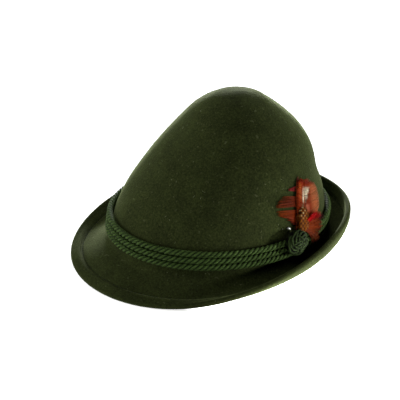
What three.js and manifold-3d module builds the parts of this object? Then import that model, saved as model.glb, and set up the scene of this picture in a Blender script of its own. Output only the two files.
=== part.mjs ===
// Tyrolean hat of wool felt with three twisted cords, a Turk's head knot and a small plume.
// Millimetres. The wearer looks towards -Y, the knot and the plume are on the wearer's left, +X.
import * as THREE from 'three';
import { mergeVertices } from 'three/addons/utils/BufferGeometryUtils.js';
import Module from 'manifold-3d';

const wasm = await Module();
wasm.setup();

// Crown, measured outside at its foot
const crownLength = 202;
const crownWidth = 168;
const crownHeight = 120;
const feltThickness = 2.2;

// Brim, measured along the felt from the crown's foot to the middle of its rounded edge
const brimWidth = 42.5;
const foldLength = 12;
const edgeWidth = 11.5;
const edgeThickness = 5;
const seamDepth = 0.4;
const restFlat = 0.35;

// Cords round the crown
const cordCount = 3;
const cordThickness = 5.4;
const cordRise = 4.3;
const cordSpring = 1.4;
const cordSpringAngle = 292;

// Gap between pieces, and how high the top cord's centre comes over the crown's foot
const clearance = 0.3;
const cordTop = cordRise + (cordCount - 1) * (cordThickness + clearance);

// Knot on the cords, a dome wound with one strand in several rounds
const knotAngle = 96;
const knotLift = 0.8;
const knotWidth = 23;
const knotDepth = 11;
const knotStrand = 3.2;
const knotRounds = 3;
const knotBights = 5;
const knotMiddle = 0.56;
const knotSwing = 0.4;
const knotWeave = 0.22;

// Plume behind the knot, its foot bound up over the top cord, and the pin that holds it
const plumeAngle = 101;
const plumeLift = 6.3;
const plumeLength = 44;
const plumeWidth = 40;
const featherThickness = 0.9;
const bindingWidth = 5.6;
const bindingDepth = 1;
const pinHead = 2.4;
const pinShaft = 0.9;
const pinLength = 6.5;

// Facets
const aroundSteps = 60;
const cordSides = 8;
const strandSides = 5;
const strandSteps = 51;
const coreSides = 14;
const coreSteps = 4;
const lineSteps = 120;
const weld = 1e-4;

// Crown sections: height, half width and reach to the front and back, as shares of the crown's sizes
const crownSections = [
  { height: 0.0, side: 1.0, front: 1.0, back: 1.0 },
  { height: 0.12, side: 0.988, front: 0.97, back: 1.005 },
  { height: 0.28, side: 0.962, front: 0.87, back: 0.966 },
  { height: 0.45, side: 0.892, front: 0.7, back: 0.88 },
  { height: 0.6, side: 0.811, front: 0.53, back: 0.83 },
  { height: 0.75, side: 0.69, front: 0.34, back: 0.722 },
  { height: 0.87, side: 0.532, front: 0.215, back: 0.576 },
  { height: 0.95, side: 0.355, front: 0.105, back: 0.44 },
  { height: 0.985, side: 0.232, front: 0.01, back: 0.36 },
  { height: 1.0, side: 0.0, front: -0.2, back: 0.2 },
];

// Brim sections from the front to the back: width as a share, slopes in degrees past the fold and at the edge
const brimSections = [
  { width: 1.0, slope: -18, edgeSlope: -34 },
  { width: 0.915, slope: -35, edgeSlope: 5 },
  { width: 0.825, slope: -30, edgeSlope: 86 },
  { width: 0.86, slope: 1, edgeSlope: 102 },
  { width: 0.91, slope: 7, edgeSlope: 72 },
];

// Brim past its fold: rings of the soft felt up to the seam, as shares of the way, and rings of the
// puffed edge, as shares of the way from the seam and of its half thickness
const softRings = [0.33, 0.67, 0.94];
const edgeSections = [
  { along: 0.18, top: 0.75, bottom: 0.8 },
  { along: 0.5, top: 1, bottom: 1 },
  { along: 1, top: 1, bottom: 1 },
];

// Half width of a feather or lock along its length, both as shares
const lockOutline = [
  { along: 0, width: 0.3 },
  { along: 0.2, width: 0.7 },
  { along: 0.45, width: 1 },
  { along: 0.7, width: 0.92 },
  { along: 0.88, width: 0.62 },
  { along: 1, width: 0.12 },
];

// Feathers and locks from foot to tip. Side, towards the back, and half are shares of the plume's width,
// up of its length, and off, bow and roll of the cord's thickness: off is the way off the crown, bow
// lifts the middle and roll lifts the rear edge
const rustFeather = {
  foot: { side: -0.05, up: 0, off: 0.02 },
  tip: { side: 0.08, up: 0.96, off: 0.02 },
  half: 0.12,
};
const rustLocks = [
  { foot: { side: -0.03, up: 0.3, off: 0.02 }, tip: { side: -0.5, up: 0.38, off: 0.02 }, half: 0.085 },
  { foot: { side: 0.01, up: 0.56, off: 0.02 }, tip: { side: -0.5, up: 0.68, off: 0.02 }, half: 0.11 },
  { foot: { side: 0.04, up: 0.8, off: 0.02 }, tip: { side: -0.18, up: 0.92, off: 0.02 }, half: 0.055 },
];
const frontLocks = [
  {
    foot: { side: 0.05, up: 0.02, off: 0.35 }, tip: { side: 0.25, up: 1, off: 0.5 },
    half: 0.26, bow: 0.33, roll: 0.37,
  },
  {
    foot: { side: 0, up: 0.02, off: 0.68 }, tip: { side: 0.18, up: 0.5, off: 1.06 },
    half: 0.16, bow: 0.07, roll: 0.11,
  },
  { foot: { side: 0.075, up: 0.06, off: 0.83 }, tip: { side: 0.52, up: 0.27, off: 1.43 }, half: 0.07 },
  { foot: { side: 0.075, up: 0.06, off: 0.83 }, tip: { side: 0.6, up: 0.12, off: 1.43 }, half: 0.065 },
  { foot: { side: 0.075, up: 0.06, off: 0.83 }, tip: { side: 0.42, up: 0.32, off: 1.35 }, half: 0.06 },
  {
    foot: { side: 0.075, up: 0.03, off: 0.8 }, tip: { side: 0.5, up: -0.06, off: 1.35 },
    half: 0.065, bow: 0.22,
  },
  {
    foot: { side: 0.075, up: 0.03, off: 0.8 }, tip: { side: 0.55, up: -0.25, off: 1.35 },
    half: 0.07, bow: 0.26,
  },
  {
    foot: { side: 0.075, up: 0.03, off: 0.8 }, tip: { side: 0.5, up: -0.4, off: 1.39 },
    half: 0.06, bow: 0.3,
  },
];
const binding = { side: 0.085, up: 0.02, off: 0.48 };
const pinPlace = { side: -0.23, up: 0.12 };

const degree = Math.PI / 180;

// Smooth value between the rows of a table, at a row number that may lie between two rows
function between(rows, column, at) {
  const last = rows.length - 1;
  const first = Math.min(Math.floor(at), last - 1);
  const value = (i) => rows[Math.min(Math.max(i, 0), last)][column];
  const rise = (i) => {
    const before = value(i) - value(i - 1);
    const after = value(i + 1) - value(i);
    if (i === 0) return after;
    if (i === last) return before;
    return before * after <= 0 ? 0 : (2 * before * after) / (before + after);
  };
  const t = at - first;
  const start = value(first);
  const end = value(first + 1);
  const bend = (1 - t) * rise(first) - t * rise(first + 1) - (1 - 2 * t) * (end - start);
  return start + t * (end - start) + t * (1 - t) * bend;
}

// Even, periodic curve round the hat through the table's rows, the first in front, the last at the back
function round(rows, column, angle) {
  const last = rows.length - 1;
  let sum = 0;
  for (let wave = 0; wave <= last; wave++) {
    let part = 0;
    for (let i = 0; i <= last; i++) {
      const share = i === 0 || i === last ? 0.5 : 1;
      part += share * rows[i][column] * Math.cos((wave * i * Math.PI) / last);
    }
    sum += (wave === 0 || wave === last ? 0.5 : 1) * part * Math.cos(wave * angle);
  }
  return (2 * sum) / last;
}

// Outward direction in plan, square to the crown's foot
function outward(angle) {
  const x = Math.sin(angle) / crownWidth;
  const y = -Math.cos(angle) / crownLength;
  return new THREE.Vector3(x, y, 0).normalize();
}

// Point on the crown's outer surface at a row number of its table
function crownPoint(at, angle) {
  const front = between(crownSections, 'front', at);
  const back = between(crownSections, 'back', at);
  const x = (crownWidth / 2) * between(crownSections, 'side', at) * Math.sin(angle);
  const y = (crownLength / 2) * ((back - front) / 2 - ((back + front) / 2) * Math.cos(angle));
  return new THREE.Vector3(x, y, crownHeight * between(crownSections, 'height', at));
}

// Point beside the crown at a height over its foot, and some way off its surface
function besideCrown(angle, height, off) {
  let low = 0;
  let high = crownSections.length - 1;
  for (let halving = 0; halving < 24; halving++) {
    const middle = (low + high) / 2;
    if (crownHeight * between(crownSections, 'height', middle) < height) low = middle;
    else high = middle;
  }
  const point = crownPoint(low, angle);
  point.z = height;
  return point.addScaledVector(outward(angle), off);
}

// Middle line of the brim at an angle: points from the crown's foot to the middle of its round edge
function brimLine(angle) {
  const foot = crownPoint(0, angle);
  const next = crownPoint(1, angle).sub(foot);
  const out = outward(angle);
  const wall = -Math.PI / 2 - Math.atan(next.dot(out) / next.z);
  const slope = round(brimSections, 'slope', angle) * degree;
  const edgeSlope = round(brimSections, 'edgeSlope', angle) * degree;
  const length = brimWidth * round(brimSections, 'width', angle);
  const line = [{ reach: -feltThickness / 2, height: 0 }];
  const step = length / lineSteps;
  for (let i = 0; i < lineSteps; i++) {
    const at = (i + 0.5) * step;
    const fold = Math.min(at / foldLength, 1);
    const eased = fold / 2 + (fold * fold * (3 - 2 * fold)) / 2;
    const curl = Math.max((at - foldLength) / (length - foldLength), 0);
    const tilt = wall + (slope - wall) * eased + (edgeSlope - slope) * curl;
    const { reach, height } = line[i];
    line.push({
      reach: reach + Math.cos(tilt) * step,
      height: height + Math.sin(tilt) * step,
    });
  }
  const point = (at) => {
    const place = Math.min(Math.max(at / step, 0), lineSteps);
    const i = Math.min(Math.floor(place), lineSteps - 1);
    const mix = (key) => line[i][key] + (place - i) * (line[i + 1][key] - line[i][key]);
    return foot.clone().addScaledVector(out, mix('reach')).setZ(mix('height'));
  };
  return { length, point };
}

// Unit normals of a grid of rings, square to its rows and its columns
function gridNormals(rings) {
  return rings.map((ring, i) =>
    ring.map((_, j) => {
      const down = rings[Math.min(i + 1, rings.length - 1)][j].clone().sub(rings[Math.max(i - 1, 0)][j]);
      const along = ring[(j + 1) % ring.length].clone().sub(ring[(j + ring.length - 1) % ring.length]);
      return down.cross(along).normalize();
    }),
  );
}

// Closed surface through rings of points: joined to each other, or closed by an end point on either side
function closedSurface(rings, ends) {
  const around = rings[0].length;
  const positions = rings.flat().flatMap((p) => [p.x, p.y, p.z]);
  const faces = [];
  const strips = ends ? rings.length - 1 : rings.length;
  for (let i = 0; i < strips; i++) {
    const next = (i + 1) % rings.length;
    for (let j = 0; j < around; j++) {
      const k = (j + 1) % around;
      const [a, b, c, d] = [i * around + j, next * around + j, next * around + k, i * around + k];
      faces.push(a, b, d, b, c, d);
    }
  }
  if (ends) {
    const first = rings.length * around;
    ends.forEach((p) => positions.push(p.x, p.y, p.z));
    for (let j = 0; j < around; j++) {
      const k = (j + 1) % around;
      const last = (rings.length - 1) * around;
      faces.push(first, j, k, last + j, first + 1, last + k);
    }
  }
  const geometry = new THREE.BufferGeometry();
  geometry.setAttribute('position', new THREE.Float32BufferAttribute(positions, 3));
  geometry.setIndex(faces);
  return geometry;
}

// Solid for joining and cutting, and the way back to a geometry
function solidOf(geometry) {
  const bare = geometry.clone();
  bare.deleteAttribute('normal');
  bare.deleteAttribute('uv');
  const merged = mergeVertices(bare, weld);
  return new wasm.Manifold(
    new wasm.Mesh({
      numProp: 3,
      vertProperties: new Float32Array(merged.attributes.position.array),
      triVerts: new Uint32Array(merged.index.array),
    }),
  );
}

function geometryOf(solid) {
  const mesh = solid.getMesh();
  const geometry = new THREE.BufferGeometry();
  geometry.setAttribute('position', new THREE.BufferAttribute(mesh.vertProperties, mesh.numProp));
  geometry.setIndex(new THREE.BufferAttribute(mesh.triVerts, 1));
  return geometry;
}

// Felt: one skin of even thickness from the crown's top to the brim, with a turned and stitched edge
function feltGrid() {
  const angles = Array.from({ length: aroundSteps }, (_, j) => (j * 2 * Math.PI) / aroundSteps);
  const crownRows = [8.6, 8, 7.4, 6.8, 6.1, 5.4, 4.7, 4, 3.2, 2.4, 1.6, 0.8, 0];
  const outer = crownRows.map((at) => angles.map((angle) => crownPoint(at, angle)));
  const square = gridNormals(outer);
  const middle = outer
    .slice(0, -1)
    .map((ring, i) => ring.map((p, j) => p.clone().addScaledVector(square[i][j], -feltThickness / 2)));
  const soft = feltThickness / 2;
  const half = middle.map(() => [soft, soft]);
  const lines = angles.map(brimLine);
  const add = (at, top, bottom) => {
    middle.push(lines.map((line) => line.point(at(line.length))));
    half.push([top, bottom]);
  };
  const seam = edgeWidth - edgeThickness / 2;
  [0, 0.25, 0.5, 0.75, 1].forEach((share) => add(() => share * foldLength, soft, soft));
  softRings.forEach((share) => {
    add((length) => foldLength + share * (length - seam - foldLength), soft, soft);
  });
  add((length) => length - seam, soft - seamDepth, soft + seamDepth);
  edgeSections.forEach(({ along, top, bottom }) => {
    add((length) => length - seam * (1 - along), (top * edgeThickness) / 2, (bottom * edgeThickness) / 2);
  });
  return { middle, half };
}

function feltBody() {
  const { middle, half } = feltGrid();
  const normals = gridNormals(middle);
  const skin = (side) =>
    middle.map((ring, i) =>
      ring.map((p, j) => p.clone().addScaledVector(normals[i][j], side === 0 ? half[i][0] : -half[i][1])),
    );
  const last = middle.length - 1;
  const edge = [30, 60, 90, 120, 150].map((turn) =>
    middle[last].map((p, j) => {
      const out = p.clone().sub(middle[last - 1][j]).normalize();
      const lift = (Math.cos(turn * degree) * edgeThickness) / 2;
      const reach = (Math.sin(turn * degree) * edgeThickness) / 2;
      return p.clone().addScaledVector(normals[last][j], lift).addScaledVector(out, reach);
    }),
  );
  const top = crownPoint(crownSections.length - 1, 0);
  const under = top.clone().setZ(top.z - feltThickness);
  return closedSurface([...skin(0), ...edge, ...skin(1).reverse()], [top, under]);
}

// Tilt and lift that put the brim's lowest points in front and at the back on the floor
function restingPlace(geometry) {
  const points = geometry.attributes.position;
  const lowest = (tilt, side) => {
    let best = null;
    for (let i = 0; i < points.count; i++) {
      const [y, z] = [points.getY(i), points.getZ(i)];
      if (side * y < crownLength / 5) continue;
      const height = y * Math.sin(tilt) + z * Math.cos(tilt);
      if (!best || height < best.height) best = { height, reach: y * Math.cos(tilt) - z * Math.sin(tilt) };
    }
    return best;
  };
  let tilt = 0;
  for (let step = 0; step < 8; step++) {
    const front = lowest(tilt, -1);
    const back = lowest(tilt, 1);
    tilt -= Math.atan2(back.height - front.height, back.reach - front.reach);
  }
  return { tilt, lift: -lowest(tilt, 1).height - restFlat };
}

// The felt is pressed flat where it meets the floor
function pressedFlat(geometry, place) {
  const size = 2 * (crownLength + brimWidth);
  const floor = new THREE.BoxGeometry(size, size, size).translate(0, 0, -size / 2);
  const back = new THREE.Matrix4().makeTranslation(0, 0, place.lift);
  back.multiply(new THREE.Matrix4().makeRotationX(place.tilt)).invert();
  floor.applyMatrix4(back);
  return geometryOf(solidOf(geometry).subtract(solidOf(floor)));
}

// One cord: a ring that follows the crown's foot, sprung off the felt a little on the wearer's right
function cordRing(place) {
  const height = cordRise + place * (cordThickness + clearance);
  const spring = (angle) => {
    const turn = Math.cos(angle - cordSpringAngle * degree);
    return turn > 0 ? (cordSpring * place * turn * turn) / (cordCount - 1) : 0;
  };
  const radius = cordThickness / 2;
  const rings = Array.from({ length: cordSides }, (_, i) => {
    const turn = (i * 2 * Math.PI) / cordSides;
    return Array.from({ length: aroundSteps }, (__, j) => {
      const angle = (j * 2 * Math.PI) / aroundSteps;
      const out = outward(angle);
      const point = besideCrown(angle, height, clearance + radius + spring(angle));
      point.addScaledVector(out, radius * Math.cos(turn));
      point.z -= radius * Math.sin(turn);
      return point;
    });
  });
  return closedSurface(rings, null);
}

// Frame on the crown's side, leaning with its wall: x towards the back, y up, z out
function sideFrame(angle, height, off) {
  const reach = knotWidth / 2;
  const up = besideCrown(angle * degree, height + reach, 0);
  up.sub(besideCrown(angle * degree, height - reach, 0)).normalize();
  const along = up.clone().cross(outward(angle * degree)).normalize();
  const out = along.clone().cross(up);
  const origin = besideCrown(angle * degree, height, 0).addScaledVector(out, off);
  return new THREE.Matrix4().makeBasis(along, up, out).setPosition(origin);
}

// Knot: a dome, wound with a strand that runs over and under itself
function knot() {
  const radius = knotWidth / 2;
  const coreRadius = radius - knotStrand / 2;
  const coreDepth = knotDepth - knotStrand;
  const profile = [new THREE.Vector2(0, 0)];
  for (let i = 0; i <= coreSteps; i++) {
    const turn = (i * Math.PI) / 2 / coreSteps;
    const across = i === coreSteps ? 0 : coreRadius * Math.cos(turn);
    profile.push(new THREE.Vector2(across, coreDepth * Math.sin(turn)));
  }
  const core = new THREE.LatheGeometry(profile, coreSides).rotateX(Math.PI / 2);
  const strand = new THREE.CatmullRomCurve3(
    Array.from({ length: strandSteps }, (_, i) => {
      const turn = (i * 2 * Math.PI * knotRounds) / strandSteps;
      const weave = (knotBights * turn) / knotRounds;
      const reach = coreRadius * (knotMiddle + knotSwing * Math.cos(weave));
      const dome = coreDepth * Math.sqrt(Math.max(1 - (reach / radius) ** 2, 0));
      const over = knotWeave * knotStrand * Math.sin(2 * weave);
      return new THREE.Vector3(reach * Math.cos(turn), reach * Math.sin(turn), dome + over);
    }),
    true,
  );
  const rings = Array.from({ length: strandSteps }, (_, i) => {
    const share = i / strandSteps;
    const centre = strand.getPoint(share);
    const ahead = strand.getTangent(share);
    const side = new THREE.Vector3(0, 0, 1).cross(ahead).normalize();
    const top = ahead.clone().cross(side);
    return Array.from({ length: strandSides }, (__, j) => {
      const turn = (-j * 2 * Math.PI) / strandSides;
      const point = centre.clone().addScaledVector(side, (Math.cos(turn) * knotStrand) / 2);
      return point.addScaledVector(top, (Math.sin(turn) * knotStrand) / 2);
    });
  });
  const wound = solidOf(closedSurface(rings, null));
  const size = 4 * knotWidth;
  const behind = new THREE.BoxGeometry(size, size, size).translate(0, 0, -size / 2);
  const joined = solidOf(core).add(wound).subtract(solidOf(behind));
  const off = clearance + cordThickness + clearance;
  return geometryOf(joined).applyMatrix4(sideFrame(knotAngle, cordTop + knotLift, off));
}

// Point of the plume beside its foot, up along it and off the crown
function plumePoint({ side, up, off }) {
  const angle = plumeAngle * degree + (side * plumeWidth) / (crownWidth / 2);
  return besideCrown(angle, cordTop + plumeLift + up * plumeLength, clearance + off * cordThickness);
}

// One feather or lock: a thin lens section carried from its foot to its tip
function lock({ foot, tip, half, bow = 0, roll = 0 }) {
  const lean = { side: (tip.side - foot.side) * plumeWidth, up: (tip.up - foot.up) * plumeLength };
  const reach = Math.hypot(lean.side, lean.up);
  const section = [-1, -0.5, 0.5, 1, 0.5, -0.5].map((share, i) => ({ share, skin: [0, -1, -1, 0, 1, 1][i] }));
  const rings = lockOutline.map(({ along, width }) =>
    section.map(({ share, skin }) => {
      const across = (share * half * width * plumeWidth) / reach;
      const skinOff = ((1 + skin) * featherThickness) / 2 / cordThickness;
      const lift = bow * Math.sin(Math.PI * along) + (1 + share) * roll * width;
      return plumePoint({
        side: foot.side + (tip.side - foot.side) * along + (across * lean.up) / plumeWidth,
        up: foot.up + (tip.up - foot.up) * along - (across * lean.side) / plumeLength,
        off: foot.off + (tip.off - foot.off) * along + lift + skinOff,
      });
    }),
  );
  const middle = (ring) => ring.reduce((sum, p) => sum.add(p), new THREE.Vector3()).divideScalar(ring.length);
  return closedSurface(rings, [middle(rings[0]), middle(rings[rings.length - 1])]);
}

function joined(geometries) {
  return geometryOf(geometries.map(solidOf).reduce((sum, solid) => sum.add(solid)));
}

// Back of the plume: a rust feather whose front vane has parted into locks
function plumeBack() {
  return joined([rustFeather, ...rustLocks].map(lock));
}

// Front of the plume: two feathers and the locks of two tufts, bound together behind the knot
function plumeFront() {
  const bound = new THREE.SphereGeometry(0.5, 8, 5);
  bound.scale(bindingWidth, bindingWidth, bindingDepth * cordThickness);
  const frame = sideFrame(plumeAngle, cordTop + plumeLift, 0);
  frame.setPosition(plumePoint(binding));
  return joined([bound.applyMatrix4(frame), ...frontLocks.map(lock)]);
}

// Pin with a round head, its shaft lying along the crown
function plumePin() {
  const head = new THREE.SphereGeometry(pinHead / 2, 8, 6);
  const shaft = new THREE.CylinderGeometry(pinShaft / 2, pinShaft / 2, pinLength, 6);
  shaft.rotateZ(Math.PI / 2).translate(-pinLength / 2, 0, (pinShaft - pinHead) / 2);
  const angle = plumeAngle + (pinPlace.side * plumeWidth) / (crownWidth / 2) / degree;
  const height = cordTop + plumeLift + pinPlace.up * plumeLength;
  return joined([head, shaft]).applyMatrix4(sideFrame(angle, height, clearance + pinHead / 2));
}

// The hat, laid back on its front edge and on the fold of its brim behind
const hat = new THREE.Group();
hat.name = 'tyrolean_hat';

function addPiece(name, geometry, colour, roughness, metalness = 0) {
  const material = new THREE.MeshStandardMaterial({ color: colour, roughness, metalness, flatShading: true });
  const mesh = new THREE.Mesh(geometry, material);
  mesh.name = name;
  hat.add(mesh);
}

const whole = feltBody();
const rest = restingPlace(whole);
addPiece('felt_body', pressedFlat(whole, rest), 0x2e3420, 0.95);
for (let i = 0; i < cordCount; i++) addPiece(`cord_${i + 1}`, cordRing(i), 0x36482a, 0.8);
addPiece('cord_knot', knot(), 0x2c3a22, 0.8);
addPiece('plume_back', plumeBack(), 0xa04a2c, 0.6);
addPiece('plume_front', plumeFront(), 0xc47a5c, 0.5);
addPiece('plume_pin', plumePin(), 0xe8e8e4, 0.25, 0.9);

hat.rotation.x = rest.tilt;
hat.position.z = rest.lift;
hat.position.y = -new THREE.Box3().setFromObject(hat, true).getCenter(new THREE.Vector3()).y;

export default hat;
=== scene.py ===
import math
import bmesh
import bpy
import numpy as np
from mathutils import Matrix, Vector


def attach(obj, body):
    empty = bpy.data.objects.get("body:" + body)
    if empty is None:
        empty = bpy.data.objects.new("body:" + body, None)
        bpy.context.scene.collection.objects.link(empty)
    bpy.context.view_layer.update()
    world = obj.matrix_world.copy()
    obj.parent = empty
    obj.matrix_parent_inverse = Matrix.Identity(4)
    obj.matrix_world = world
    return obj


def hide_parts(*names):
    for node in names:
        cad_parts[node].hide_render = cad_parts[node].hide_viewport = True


# Tyrolean hat of wool felt: cap, three twisted cords, Turk's head knot, plume and pin.
# Shapes are worked out in the hat's own frame in millimetres, upright on the crown's foot,
# then leant back as the hat rests on its brim, and written in metres.
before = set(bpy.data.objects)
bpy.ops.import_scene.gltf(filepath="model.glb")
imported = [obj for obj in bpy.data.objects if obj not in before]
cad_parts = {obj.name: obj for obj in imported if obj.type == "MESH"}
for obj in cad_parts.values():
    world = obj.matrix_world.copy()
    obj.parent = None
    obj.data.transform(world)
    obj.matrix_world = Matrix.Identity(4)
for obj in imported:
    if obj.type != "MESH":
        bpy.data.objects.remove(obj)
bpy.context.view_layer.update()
print("frame loaded")

rest = {"tilt": -3.8352, "shift": 4.336, "lift": 14.8505}  # degrees about X, mm along Y, mm up
tiltCos = math.cos(math.radians(rest["tilt"]))
tiltSin = math.sin(math.radians(rest["tilt"]))


def laidDown(points, isDirection=False):
    # turned about X by the tilt, then shifted, raised and brought from mm to metres
    p = np.asarray(points, float)
    x, y, z = p[..., 0], p[..., 1], p[..., 2]
    turned = np.stack([x, y * tiltCos - z * tiltSin, y * tiltSin + z * tiltCos], -1)
    if isDirection:
        return turned
    placed = (turned + [0.0, rest["shift"], rest["lift"]]) / 1000.0
    placed[..., 2] = np.maximum(placed[..., 2], 0.0)  # nothing goes below the floor: felt is pressed flat
    return placed


def addObject(name, data):
    made = bpy.data.objects.new(name, data)
    bpy.context.scene.collection.objects.link(made)
    return made


# Camera, fitted to the photo's outlines
cameraSettings = {
    "azimuth": 52.0, "elevation": 26.4, "roll": 2.55, "distance": 1400.0, "focal": 1590.0,
    "aim": (-18.3, -29.1), "centre": (0.0, 0.0, 55.0), "picture": 400.0, "sensor": 36.0,
}


def makeCamera(s):
    # stands off the centre, moved by aim in the picture's plane, at distance along the view direction
    a, e, r = (math.radians(s[k]) for k in ("azimuth", "elevation", "roll"))
    back = np.array([math.sin(a) * math.cos(e), -math.cos(a) * math.cos(e), math.sin(e)])
    right = np.array([math.cos(a), math.sin(a), 0.0])
    up = np.cross(back, right)
    across = right * math.cos(r) + up * math.sin(r)
    upward = up * math.cos(r) - right * math.sin(r)
    place = np.array(s["centre"]) + across * s["aim"][0] + upward * s["aim"][1] + back * s["distance"]
    data = bpy.data.cameras.new("camera")
    data.sensor_width = s["sensor"]
    data.lens = s["focal"] / s["picture"] * s["sensor"]
    data.clip_end = 50.0
    camera = addObject("camera", data)
    axes = laidDown(np.stack([across, upward, back]), True)
    pose = Matrix([list(row) for row in axes]).transposed().to_4x4()
    pose.translation = Vector(laidDown(place))
    camera.matrix_world = pose
    bpy.context.scene.camera = camera


makeCamera(cameraSettings)
print("camera placed")


# Mesh building: tubes through rings of points, many at once
def newShape():
    return {"points": [], "faces": [], "corners": [], "colours": [], "count": 0}


def addGrids(shape, points, length=1.0, closed=False):
    # points is (tubes, rows, round, 3), closed where the last row meets the first again;
    # U runs from 0 to length down the rows, and V once round
    tubes, rows, around = points.shape[:3]
    k, i, j = np.meshgrid(np.arange(tubes), np.arange(rows - 1 + closed), np.arange(around), indexing="ij")
    u, v = np.linspace(0, length, rows + closed), np.linspace(0, 1, around + 1)
    first, faces, corners = shape["count"], [], []
    for down, over in ((0, 0), (1, 0), (1, 1), (0, 1)):
        faces.append(first + (k * rows + (i + down) % rows) * around + (j + over) % around)
        corners.append(np.stack([u[i + down], v[j + over]], -1))
    shape["points"].append(points.reshape(-1, 3))
    shape["faces"].append(np.stack(faces, -1).reshape(-1, 4))
    shape["corners"].append(np.stack(corners, -2).reshape(-1, 4, 2))
    shape["count"] += tubes * rows * around
    return first


def addTube(shape, rings, length=1.0, closed=False, hubs=None):
    # one tube, round on itself or with a fan at each end to a hub, which is else the ring's middle
    rows, around = rings.shape[:2]
    ring = addGrids(shape, rings[None], length, closed) + np.arange(around)
    if closed:
        return
    start, end = hubs or (rings[0].mean(0), rings[-1].mean(0))
    for hub, row, u, turn in ((start, 0, 0.0, 1), (end, rows - 1, length, -1)):
        here = ring + row * around
        fan = np.stack([here, np.roll(here, -1), np.full(around, shape["count"])], -1)
        shape["points"].append(hub[None])
        shape["faces"].append(fan[:, ::turn])
        shape["corners"].append(np.broadcast_to((u, 0.0), (around, 3, 2)))
        shape["count"] += 1


def addSleeves(shape, rings):
    # many short tubes at once, each end closed by one flat face: rings is (tubes, steps, sides, 3)
    count, steps, sides = rings.shape[:3]
    base = addGrids(shape, rings) + np.arange(count)[:, None] * steps * sides
    for row in (0, steps - 1):
        shape["faces"].append(base + row * sides + np.arange(sides))
        shape["corners"].append(np.zeros((count, sides, 2)))


def fullTurn(steps):
    return np.arange(steps) * 2 * math.pi / steps


def loopSteps(line):
    # how far it is from each point of a closed line to the next
    return np.linalg.norm(np.roll(line, -1, 0) - line, axis=1)


def loopHeading(line):
    return unit(np.roll(line, -1, 0) - np.roll(line, 1, 0))


def lineAxes(lines, out):
    # two directions square to each line: one level with the felt, one off it
    heading = unit(np.gradient(lines, axis=-2))
    side = unit(np.cross(heading, out))
    return side, np.cross(side, heading)


def circles(lines, radii, first, second, sides):
    # round each point, the radius times the cosine of the turn one way and times its sine the other
    turn = fullTurn(sides)[:, None]
    return lines[..., None, :] + np.asarray(radii)[..., None, None] * (
        np.cos(turn) * first[..., None, :] + np.sin(turn) * second[..., None, :])


def ballRings(high, sides, first, second, pole, grow=1.0):
    # rings of a ball at angles high over its middle: cosine of high goes round, sine of it to the pole
    level, turn = grow * np.cos(high), fullTurn(sides)
    ring = (level * np.cos(turn))[..., None] * first + (level * np.sin(turn))[..., None] * second
    return ring + np.sin(high)[..., None] * pole


def makePiece(name, shape, material, nodes=()):
    # one mesh from the shape's arrays, with its UV map and its colours if it has any
    points = laidDown(np.concatenate(shape["points"]))
    faces = [face for group in shape["faces"] for face in group.tolist()]
    mesh = bpy.data.meshes.new(name)
    mesh.from_pydata(points, [], faces, shade_flat=False)
    layer = mesh.uv_layers.new(name="UVMap")
    layer.data.foreach_set("uv", np.concatenate([c.reshape(-1, 2) for c in shape["corners"]]).ravel())
    if shape["colours"]:
        colours = np.concatenate(shape["colours"])
        paint = mesh.color_attributes.new("pattern_and_shading", "FLOAT_COLOR", "POINT")
        paint.data.foreach_set("color", np.concatenate([colours, np.ones((len(colours), 1))], 1).ravel())
    mesh.validate()
    work = bmesh.new()
    work.from_mesh(mesh)
    bmesh.ops.recalc_face_normals(work, faces=work.faces)  # each closed piece faces outwards
    work.to_mesh(mesh)
    work.free()
    piece = addObject(name, mesh)
    mesh.materials.append(material)
    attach(piece, "root")
    if nodes:
        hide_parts(*nodes)
    print(name, sum(len(face) - 2 for face in faces), "triangles")


def unit(v):
    return v / np.maximum(np.linalg.norm(v, axis=-1, keepdims=True), 1e-9)


# Materials
def newMaterial(name, colour, roughness, specular=0.5, **sockets):
    # plain shader; a socket's name has low lines for its spaces
    material = bpy.data.materials.new(name)
    material.use_nodes = True
    shader = material.node_tree.nodes["Principled BSDF"]
    sockets.update(Base_Color=(*colour, 1.0), Roughness=roughness, Specular_IOR_Level=specular)
    for key, value in sockets.items():
        shader.inputs[key.replace("_", " ")].default_value = value
    return material, material.node_tree, shader


def linear(red, green, blue):
    # sRGB from 0 to 255 to linear light
    c = np.array([red, green, blue]) / 255.0
    return tuple(np.where(c <= 0.04045, c / 12.92, ((c + 0.055) / 1.055) ** 2.4))


def addNode(tree, kind, inputs=None, **settings):
    # inputs: socket name to a value or to another node's output
    node = tree.nodes.new(kind)
    for key, value in settings.items():
        setattr(node, key, value)
    for key, value in (inputs or {}).items():
        if isinstance(value, bpy.types.NodeSocket):
            tree.links.new(value, node.inputs[key])
        else:
            node.inputs[key].default_value = value
    return node


def wire(shader, socket, output):
    shader.id_data.links.new(output, shader.inputs[socket])


def addMath(tree, operation, *values, kind="ShaderNodeMath"):
    # the values go to the node's inputs in turn
    return addNode(tree, kind, dict(enumerate(values)), operation=operation).outputs["Value"]


def ramp(tree, factor, stops):
    # colour ramp from (position, colour) stops
    node = addNode(tree, "ShaderNodeValToRGB", {"Fac": factor})
    while len(node.color_ramp.elements) < len(stops):
        node.color_ramp.elements.new(0.5)
    for element, (position, colour) in zip(node.color_ramp.elements, stops):
        element.position = position
        element.color = (*colour, 1.0)
    return node.outputs["Color"]


def greyRamp(tree, factor, low, high):
    # grey from low to high, each (position, shade)
    return ramp(tree, factor, [(position, (shade,) * 3) for position, shade in (low, high)])


def addBump(tree, height, strength, distance, normal=None):
    inputs = {"Strength": strength, "Distance": distance, "Height": height}
    if normal is not None:
        inputs["Normal"] = normal
    return addNode(tree, "ShaderNodeBump", inputs).outputs["Normal"]


def objectPlace(tree):
    return tree.nodes.new("ShaderNodeTexCoord").outputs["Object"]


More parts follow.
